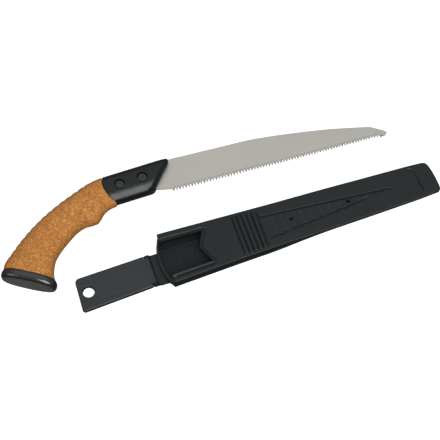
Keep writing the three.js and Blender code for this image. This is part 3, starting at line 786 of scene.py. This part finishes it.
def build_front_shell():
    # v runs across the width, with columns on the window's edges
    edge = np.array([0, 0.0015, 0.005, 0.011, 0.021, 0.036, 0.058, 0.09, 0.13, 0.17])
    low = np.r_[-1 + edge, np.linspace(-0.80, -0.69, 7)]
    mid1 = np.linspace(-0.69, 0, 34)[1:]
    mid2 = np.linspace(0, 0.65, 33)[1:]
    high = np.r_[np.linspace(0.65, 0.80, 8)[1:], (1 - edge)[::-1]]
    V = np.r_[low, mid1, mid2, high]
    jl, jh = len(low) - 1, len(low) - 1 + len(mid1) + len(mid2)
    J = len(V)
    rail = np.r_[MOUTHX, MOUTHX + 0.25, MOUTHX + 0.8, np.linspace(MOUTHX + 2.0, -23.5, 32), -22.6]
    body = np.r_[np.linspace(-13.5, 7.5, 12), np.arange(8.2, 40.3, 0.36), np.arange(41.0, 66.4, 0.66), np.arange(66.7, 72.1, 0.3), np.arange(72.6, 129.3, 0.68), np.arange(129.6, 134.9, 0.3), np.arange(135.4, 182, 0.72), np.linspace(184, 201, 12)]
    tipf = np.r_[np.linspace(0, 0.7, 34), 0.76, 0.82, 0.87, 0.91, 0.945, 0.97, 0.985, 0.994, 1.0]
    vc = np.where(V < 0, V / 0.69, V / 0.65)
    start = -31.2 + 8.6 * np.clip(np.abs(vc), 0, 1)
    start = np.where(np.abs(vc) < 0.05, -31.2 + 0.4, start)
    rows = []
    for x in rail[:-1]:
        xs = np.full(J, x)
        yy = np.abs(V) * half_w(xs)
        c = np.clip((yy - (half_w(xs) - 2.4)) / 2.4, 0, 1)
        xs = xs + 1.3 * (1 - np.sqrt(1 - c**2 * 0.96)) * (1 - smooth01((x - MOUTHX) / 12))
        xs = xs - np.where(V > 0.6, 1.3, 0.0) * (1 - smooth01((x - MOUTHX) / 9))
        rows.append(np.c_[xs, SHY + V * half_w(xs)])
    for f in np.linspace(0, 1, 22):
        xs = start + (-14.6 - start) * f
        rows.append(np.c_[xs, SHY + V * half_w(xs)])
    n_rail = len(rail) - 1
    for x in body:
        xs = np.full(J, x)
        rows.append(np.c_[xs, SHY + V * half_w(xs)])
    x0 = 202.5
    a = np.c_[np.full(J, x0), SHY + V * half_w(x0)]
    tipc = catmull(TIP_CURVE, np.linspace(0, 1, 400))
    arc = np.r_[0, np.cumsum(np.hypot(*np.diff(tipc, axis=0).T))]
    want = (V + 1) / 2 * arc[-1]
    # spread the tip points along the tip curve's arc length in step with the cross position, so that rows stay fair
    bx, by = np.interp(want, arc, tipc[:, 0]), np.interp(want, arc, tipc[:, 1])
    b = np.c_[bx, SHY + by]
    for f in tipf:
        rows.append(a + (b - a) * f)
    G = np.array(rows)                       # rows x J x 2
    I = len(G)
    X, Y = G[..., 0], G[..., 1]
    grow = smooth01((X - 45) / 70) * (1 - smooth01((X - 205) / 22))
    d = seg_dist(X, Y, outline_plan())
    Y = Y + grow * np.where(V > 0, 0.5 * V, 0.8 * V)[None, :] + np.minimum(V, 0)[None, :] * spread(X)
    d[:, 0] = d[:, -1] = 0
    d[-1] = 0
    k = k_of(X)
    T = SH_T * k
    far = smooth01((X - 40) / 170)           # the edge gets rounder towards the tip
    rz = 1.15
    Z = T - round_loss(d, rz) - 0.20 * (1 - smooth01(d / 9.0)) * (1 - far) + relief(X, Y, d) * smooth01((d - 0.6) / 2.2)
    # mouth edges are eased
    m = np.clip(1 - (X - MOUTHX) / 1.0, 0, 1)
    Z = Z - 0.5 * m * m
    split = 8.39 * k
    Zi = np.minimum(Z, T - 0.6) - 2.3
    sh = 2.3 / np.maximum(np.abs(Y - SHY), 2.3)
    near = smooth01(1 - d / 9.0)
    Yi = SHY + (Y - SHY) * (1 - near * sh)
    Xi = X - 2.3 * near * smooth01((X - 212) / 12)
    Zi = np.where(d < 2.4, np.minimum(Zi, T - 4.2), Zi)
    # extended grid with the wall's bottom edge
    vid = -np.ones((I + 1, J + 2), int)
    outer, inner = [], []

    def put(i, j, po, pi):
        vid[i, j] = len(outer)
        outer.append(po)
        inner.append(pi)

    for i in range(I):
        for j in range(J):
            put(i, j + 1, (X[i, j], Y[i, j], Z[i, j]), (Xi[i, j], Yi[i, j], Zi[i, j]))
        for jj, j in ((0, 0), (J + 1, J - 1)):
            ly = np.sign(Y[i, j] - SHY) * lean(X[i, j])
            put(i, jj, (X[i, j], Y[i, j] - ly, split[i, j]), (Xi[i, j], Yi[i, j] - ly, split[i, j]))
    for j in range(1, J - 1):
        ly = V[j] * lean(X[-1, j])
        put(I, j + 1, (X[-1, j] - 0.7, Y[-1, j] - ly, split[-1, j]), (Xi[-1, j] - 0.7, Yi[-1, j] - ly, split[-1, j]))
    vid[I, 1] = vid[I - 1, 0]
    vid[I, J] = vid[I - 1, J + 1]
    n = len(outer)
    cells = []
    for i in range(I):
        for j in range(J + 1):
            if i == I - 1 and (j == 0 or j == J):
                continue
            if i < n_rail and jl + 1 <= j < jh + 1:
                continue
            cells.append((vid[i, j], vid[i, j + 1], vid[i + 1, j + 1], vid[i + 1, j]))
    faces, count = [], {}
    for c in cells:
        faces.append(c)
        faces.append(tuple(n + q for q in c[::-1]))
        for a_, b_ in zip(c, c[1:] + c[:1]):
            count.setdefault((min(a_, b_), max(a_, b_)), []).append((a_, b_))
    for e in count.values():
        if len(e) == 1:
            a_, b_ = e[0]
            faces.append((b_, a_, n + a_, n + b_))
    return piece("scabbard_front", np.array(outer + inner), faces, FACE, "sheath", ["sheath_front_shell"], "black_moulding", angle=40)


def build_back_shell():
    """Lower shell: outer skin from the parting plane round the bottom, and the cavity inside."""
    mouth = catmull(np.array([[-67.2, 1.0], [-68.8, 0.92], [-71.2, 0.716], [-73.6, 0.437], [-74.6, 0.2], [-74.8, 0.0]]), np.linspace(0, 1, 60))
    V = np.r_[-1, -0.985, -0.96, -0.925, -0.88, np.linspace(-0.82, 0.82, 60), 0.88, 0.925, 0.96, 0.985, 1]
    S = np.r_[np.linspace(0, 0.05, 10), np.linspace(0.056, 0.93, 150), np.linspace(0.935, 1, 18)]
    x0 = np.interp(np.abs(V), mouth[::-1, 1], mouth[::-1, 0])
    tipc = catmull(TIP_CURVE, np.linspace(0, 1, 400))
    arc = np.r_[0, np.cumsum(np.hypot(*np.diff(tipc, axis=0).T))]
    want = (V + 1) / 2 * arc[-1]
    bx, by = np.interp(want, arc, tipc[:, 0]), np.interp(want, arc, tipc[:, 1])
    rows = []
    for s_ in S:
        if s_ < 0.93:
            x = x0 + (203.0 - x0) * (s_ / 0.93)
            rows.append(np.c_[x, V * half_w(x)])
        else:
            f = (s_ - 0.93) / 0.07
            a = np.c_[np.full(len(V), 203.0), V * half_w(203.0)]
            rows.append(a + (np.c_[bx, by] - a) * f)
    G = np.array(rows)
    X, Yr = G[..., 0], G[..., 1]
    k = k_of(X)
    I, J = X.shape
    # levels down the outside wall: (share of the height, extra inset)
    levels = [(1.0, 0.0), (0.82, 0.04), (0.62, 0.12), (0.42, 0.26), (0.27, 0.42), (0.19, 0.56), (0.10, 0.72), (0.045, 0.86), (0.012, 0.97), (0.0, 1.08)]
    border = [(0, j) for j in range(J)] + [(i, J - 1) for i in range(1, I)] + [(I - 1, j) for j in range(J - 2, -1, -1)] + [(i, 0) for i in range(I - 2, 0, -1)]
    bi = np.array([b[0] for b in border])
    bj = np.array([b[1] for b in border])
    P = np.c_[X[bi, bj], Yr[bi, bj]]
    Q = np.roll(P, -1, axis=0) - np.roll(P, 1, axis=0)
    N = np.c_[-Q[:, 1], Q[:, 0]] / np.maximum(np.hypot(*Q.T), 1e-9)[:, None]
    if ((N * (P - [70, 0])).sum(1) > 0).mean() > 0.5:
        N = -N                                        # inward
    # normals turn slowly round the tip's corners, so that inset rings do not cross
    step = np.hypot(*(np.roll(P, -1, axis=0) - P).T)
    at = np.r_[0, np.cumsum(step)]
    gap = np.abs(at[:-1, None] - at[None, :-1])
    gap = np.minimum(gap, at[-1] - gap)
    W = np.exp(-((gap / 5.5) ** 2)) * ((step + np.roll(step, 1)) / 2)[None, :]
    slow = W @ N
    blend = smooth01((P[:, 0] - 165) / 25)[:, None]
    N = N * (1 - blend) + slow / np.hypot(*slow.T)[:, None] * blend
    N = N / np.hypot(*N.T)[:, None]
    top = (8.35 * k[bi, bj])
    base = lean(P[:, 0])
    under = 1.5 + 3.2 * smooth01((P[:, 0] - 40) / 80)
    grow = smooth01((P[:, 0] - 45) / 70) * (1 - smooth01((P[:, 0] - 205) / 22)) * 0.5
    grow = grow + spread(P[:, 0]) * np.clip(-P[:, 1] / half_w(P[:, 0]), 0, 1)
    rings = []
    for hshare, ins in levels:
        off = base + under * ins - grow
        rings.append(np.c_[P + N * off[:, None], top * hshare])
    # rim and inside wall
    inner = [(0.0, 1.0), (2.3, 1.0), (2.45, 0.9), (2.7, 0.45), (2.9, 0.33)]
    ins_rings = []
    for w, hshare in inner[1:]:
        ins_rings.append(np.c_[P + N * (base + w)[:, None], np.maximum(top * hshare, 2.45)])
    low = []
    seq = ins_rings[::-1] + rings
    m = len(P)
    v = np.vstack(seq)
    f = []
    for r in range(len(seq) - 1):
        for c in range(m):
            d_ = (c + 1) % m
            f.append((r * m + c, r * m + d_, (r + 1) * m + d_, (r + 1) * m + c))
    # inner floor and underside
    from mathutils.geometry import tessellate_polygon
    for r, z in ((0, 2.45), (len(seq) - 1, 0.0)):
        pts = [Vector((*p[:2], 0)) for p in seq[r]]
        for a_, b_, c_ in tessellate_polygon([pts]):
            f.append((r * m + a_, r * m + b_, r * m + c_))
    v[:, 1] += SHY
    parts = [(v, f)]
    # neck with its hollow seat, extruded along y
    arcs = [(-85 + 3.22 * np.cos(a), 3.6 + 3.22 * np.sin(a)) for a in np.radians(np.linspace(-84, -26, 14))]
    prof = [(-84.4, 0.38)] + arcs + [(-80.9, 2.25), (-79.6, 2.3), (-70.5, 2.3), (-70.5, 0.38)]
    n = len(prof)
    for y0, y1 in ((-44.3, -14.9),):
        vv = [(x, y0, z) for x, z in prof] + [(x, y1, z) for x, z in prof]
        ff = [tuple(range(n)), tuple(range(n, 2 * n))[::-1]] + [(i, n + i, n + (i + 1) % n, (i + 1) % n) for i in range(n)]
        parts.append((vv, ff))
    for y0, y1, ye in ((-47.2, -44.2, -46.8), (-15.0, -12.3, -12.4)):
        vv = [(x, y, z) for z in (0.42, 2.28) for x, y in ((-80.2, y0), (-70.5, y0 - 0.2 if y0 < -30 else y0), (-70.5, y1), (-80.2, y1))]
        parts.append((vv, [(3, 2, 1, 0), (4, 5, 6, 7), (0, 1, 5, 4), (1, 2, 6, 5), (2, 3, 7, 6), (3, 0, 4, 7)]))
    for y0, y1 in ((-14.8, -12.4), (-46.8, -44.4)):
        a = np.radians(np.linspace(-180, 180, 65)[:-1])
        pts = [(-85 + 3.0 * np.cos(q), 3.6 + 3.0 * np.sin(q)) for q in a]
        # the ear's outline: round at the pin, running into the neck
        o = [(x, z) for x, z in pts if not (x > -84.9 and z < 3.0)]
        i0 = max(range(len(o)), key=lambda i: o[i][0])
        o = o[i0:] + o[:i0]
        out = o + [(-84.8, 0.62), (-79.6, 0.62), (-79.6, 2.5), (-81.6, 2.9)]
        nn = len(out)
        vv = [(x, y0, z) for x, z in out] + [(x, y1, z) for x, z in out]
        ff = [tuple(range(nn)), tuple(range(nn, 2 * nn))[::-1]] + [(i, nn + i, nn + (i + 1) % nn, (i + 1) % nn) for i in range(nn)]
        parts.append((vv, ff))
    return piece("scabbard_back", *joined(*parts), BLACK, "sheath", ["sheath_back_shell"], "black_moulding", angle=40)


def build_pad():
    xs = np.arange(-73.6, -15.8, 0.34)
    ys = np.linspace(-15.4, 15.4, 96)
    X, Y = np.meshgrid(xs, ys, indexing="ij")
    # the mouth edge bulges forward
    bulge = np.interp(np.abs(Y), [0, 4.5, 12.5, 15.4], [-73.9, -73.9, -72.4, -71.3])
    X = X + (bulge + 73.6) * (1 - smooth01((X + 73.6) / 12))
    a, b = (X + Y) / np.sqrt(2) / 2.3, (X - Y) / np.sqrt(2) / 2.3
    u, w = np.abs(a - np.round(a)) * 2, np.abs(b - np.round(b)) * 2
    knob = 0.55 * (1 - smooth01((np.maximum(u, w) - 0.35) / 0.6))
    ed = np.minimum(np.minimum(X - X.min(axis=0)[None, :], -16.2 - X), 15.4 - np.abs(Y))
    Z = 3.4 + knob * smooth01((ed - 1.2) / 1.0) + 0.30 * smooth01(ed / 0.8) * (1 - smooth01((ed - 0.9) / 0.8))
    v, f = slab(np.stack([X, SHY + Y], -1), Z, np.full(X.shape, 2.72))
    return piece("window_floor", v, f, PAD, "sheath", ["floor_pad"], "pad_rubber", angle=70)


def build_hanger():
    J = np.r_[0, 0.004, 0.010, 0.018, 0.03, np.linspace(0.045, 0.955, 112), 0.97, 0.982, 0.990, 0.996, 1]
    S = np.r_[0, 0.002, 0.005, 0.009, 0.015, np.linspace(0.022, 0.985, 200), 0.991, 0.996, 1]
    lo = lambda x: -47.2 + (x + 88.3) * (3.7 / 72.5)
    hi = lambda x: -12.3 + (x + 88.3) * (1.6 / 70.1)
    t = J
    yy = t * 36.0
    xl = -162.9 - 1.9 * (1 - t)
    for r, c in ((3.6, yy), (4.2, 36.0 - yy)):
        q = np.clip(1 - c / r, 0, 1)
        xl = xl + r * (1 - np.sqrt(np.clip(1 - q * q * 0.985, 0, 1)))
    X = xl[None, :] + (-88.3 - xl)[None, :] * S[:, None]
    Y = lo(X) + t[None, :] * (hi(X) - lo(X))
    lip = [(xl[j], lo(xl[j]) + t[j] * (hi(xl[j]) - lo(xl[j]))) for j in range(len(t))]
    edge = [(-88.3, lo(-88.3))] + lip + [(-88.3, hi(-88.3))]
    d = seg_dist(X, Y, edge)
    dr = -88.3 - X
    ridge = np.zeros_like(X)
    for i in range(8):
        y0 = -40.6 + 3.0 * i
        ridge += np.exp(-(((Y - y0) / 1.0) ** 2))
    on = smooth01((X + 145.5) / 1.5) * smooth01((-91.0 - X) / 1.5) * smooth01((Y + 42.5) / 0.8) * smooth01((-17.6 - Y) / 0.8)
    hole = np.hypot(X + 153.0, Y + 31.4) - 6.1
    top = 6.35 - round_loss(d, 1.1) - 0.7 * round_loss(np.maximum(dr, 0), 1.0) - round_loss(np.maximum(hole, 0), 0.9) + (0.17 * ridge - 0.07) * on
    low = 0.95 + round_loss(d, 0.7)
    v, f = slab(np.stack([X, Y], -1), top, low)
    plate = piece("belt_hanger_body", v, f, HANGER, "hanger", ["belt_hanger"], "black_moulding", angle=45)
    cut(plate, [cylinder(6.1, -3, 12, -153.0, -31.4, 96)])
    # hinge barrel with its web
    web_x = np.r_[np.linspace(-90.2, -85.0, 8)]
    web_y = np.r_[-44.0, np.linspace(-43.6, -15.6, 10), -15.2]
    WX, WY = np.meshgrid(web_x, web_y, indexing="ij")
    web = slab(np.stack([WX, WY], -1), np.full(WX.shape, 6.33), np.full(WX.shape, 1.9))
    piece("belt_hanger_barrel", *joined(web, rod_y(2.92, -44.0, -15.2, -85.0, 3.6, 64)), HANGER, "hanger", ["belt_hanger"], "black_moulding", angle=45)


def build_mouth_bead():
    """Rounded rim on the back shell's bulging mouth edge."""
    plan = catmull(np.array([[-68.6, 24.6], [-71.0, 20.4], [-73.2, 12.5], [-74.2, 4.5], [-74.2, -4.5], [-73.2, -12.5], [-71.0, -20.4], [-68.6, -24.6]]), np.linspace(0, 1, 60))
    n, rows = 16, []
    a = np.linspace(0, 2 * np.pi, n, endpoint=False)
    tan = np.gradient(plan, axis=0)
    nor = np.c_[tan[:, 1], -tan[:, 0]] / np.hypot(*tan.T)[:, None]
    for k, (p, q) in enumerate(zip(plan, nor)):
        r = 0.75 * min(1.0, 0.25 + min(k, len(plan) - 1 - k) / 3)
        rows.append(np.c_[p[0] + r * np.cos(a) * q[0], SHY + p[1] + r * np.cos(a) * q[1], 3.0 + 1.25 * r * np.sin(a)])
    R = np.array(rows)
    f = tube_faces(len(R), n)
    f.append(tuple(range(n)))
    f.append(tuple(range((len(R) - 1) * n, len(R) * n))[::-1])
    return piece("mouth_bead", R.reshape(-1, 3), f, BLACK, "sheath", [], "black_moulding", angle=60)


build_grip()
build_ferrule()
build_blade()
build_cap()
build_front_shell()
build_back_shell()
build_pad()
build_hanger()
build_mouth_bead()
for w in ("rear", "front"):
    from_cad("blade_screw_" + w, OXIDE, "saw", bevel=0.0003)
    from_cad("washer_" + w, OXIDE, "saw", bevel=0.0001)
    from_cad("blade_nut_" + w, ZINC, "saw", bevel=0.0002)
from_cad("hanger_pin", OXIDE, "sheath", bevel=0.0002)
for i in range(1, 7):
    o = from_cad("shell_screw_%d" % i, OXIDE, "sheath", bevel=0.00015)
    if i > 4:                              # the finer shell tucks in under the tip
        mid_y = (SHY - OY) / 1000
        for q in o.data.vertices:
            q.co.y += -0.0036 if q.co.y > mid_y else 0.0036
for n, m in (("handle_core", WOOD), ("cap_stud", ZINC)):
    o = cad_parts[n]
    for s in o.material_slots:
        s.material = m

# ------------------------------------------------------------------ studio
A, E = math.radians(-19.0), math.radians(66.0)
SCALE, DIST = 0.9615, 1900.0
back = Vector((math.sin(A) * math.cos(E), -math.cos(A) * math.cos(E), math.sin(E)))
right = Vector((math.cos(A), math.sin(A), 0))
up = Vector((-math.sin(A) * math.sin(E), math.cos(A) * math.sin(E), math.cos(E)))
target = Vector((-OX / 1000, -OY / 1000, 0.008))
cam = bpy.data.cameras.new("camera")
cam.sensor_width = 36
cam.lens = SCALE * 36 * DIST / 440
cam.clip_start, cam.clip_end = 0.05, 50
co = bpy.data.objects.new("camera", cam)
bpy.context.scene.collection.objects.link(co)
co.matrix_world = Matrix(((right.x, up.x, back.x, 0), (right.y, up.y, back.y, 0), (right.z, up.z, back.z, 0), (0, 0, 0, 1)))
co.location = target + back * (DIST / 1000)
bpy.context.scene.camera = co

fm = bpy.data.meshes.new("floor")
s = 6.0
fm.from_pydata([(-s, -s, -0.0004), (s, -s, -0.0004), (s, s, -0.0004), (-s, s, -0.0004)], [], [(0, 1, 2, 3)])
floor = bpy.data.objects.new("floor", fm)
bpy.context.scene.collection.objects.link(floor)
fmat = bpy.data.materials.new("studio_floor")
fmat.use_nodes = True
fb = fmat.node_tree.nodes["Principled BSDF"]
fb.inputs["Base Color"].default_value = (0.86, 0.86, 0.86, 1)
fb.inputs["Roughness"].default_value = 0.9
fb.inputs["Specular IOR Level"].default_value = 0.1
fb.inputs["Emission Color"].default_value = (1, 1, 1, 1)
fb.inputs["Emission Strength"].default_value = 0.60
fm.materials.append(fmat)
floor.visible_glossy = False
floor.visible_diffuse = False


def area(name, direction, dist, size, size_y, power, colour=(1, 1, 1)):
    l = bpy.data.lights.new(name, "AREA")
    l.shape = "RECTANGLE"
    l.size, l.size_y = size, size_y
    l.energy = power
    l.color = colour
    o = bpy.data.objects.new(name, l)
    bpy.context.scene.collection.objects.link(o)
    dvec = Vector(direction).normalized()
    o.location = Vector((0, 0, 0)) + dvec * dist
    o.rotation_mode = "QUATERNION"
    o.rotation_quaternion = (dvec).to_track_quat("Z", "Y")
    o.visible_camera = False
    return o


# overhead softboxes behind the object, a small soft key in front and a weak fill
area("top", (0.15, 0.42, 1.0), 2.6, 3.0, 1.6, 6)
area("key", (0.05, -0.52, 0.80), 2.6, 1.5, 1.9, 54)
area("side", (-1.0, -0.1, 0.8), 3.0, 1.4, 1.4, 12)
world = bpy.data.worlds.new("studio")
world.use_nodes = True
wt = world.node_tree
wc = wt.nodes.new("ShaderNodeTexCoord")
ws = wt.nodes.new("ShaderNodeSeparateXYZ")
wr = wt.nodes.new("ShaderNodeValToRGB")
wt.links.new(wc.outputs["Generated"], ws.inputs[0])
wm = wt.nodes.new("ShaderNodeMapRange")
wm.inputs["From Min"].default_value = -1
wt.links.new(ws.outputs["Z"], wm.inputs["Value"])
wt.links.new(wm.outputs["Result"], wr.inputs["Fac"])
e = wr.color_ramp.elements
e[0].position, e[0].color = 0.0, (0.16, 0.16, 0.165, 1)
e[1].position, e[1].color = 1.0, (0.95, 0.965, 1.0, 1)
for pos, c in ((0.46, 0.20), (0.60, 0.40), (0.80, 0.62)):
    el = e.new(pos)
    el.color = (c, c, c * 1.02, 1)
wt.links.new(wr.outputs["Color"], wt.nodes["Background"].inputs["Color"])
wt.nodes["Background"].inputs["Strength"].default_value = 0.60
bpy.context.scene.world = world
bpy.context.scene.view_settings.view_transform = "Standard"
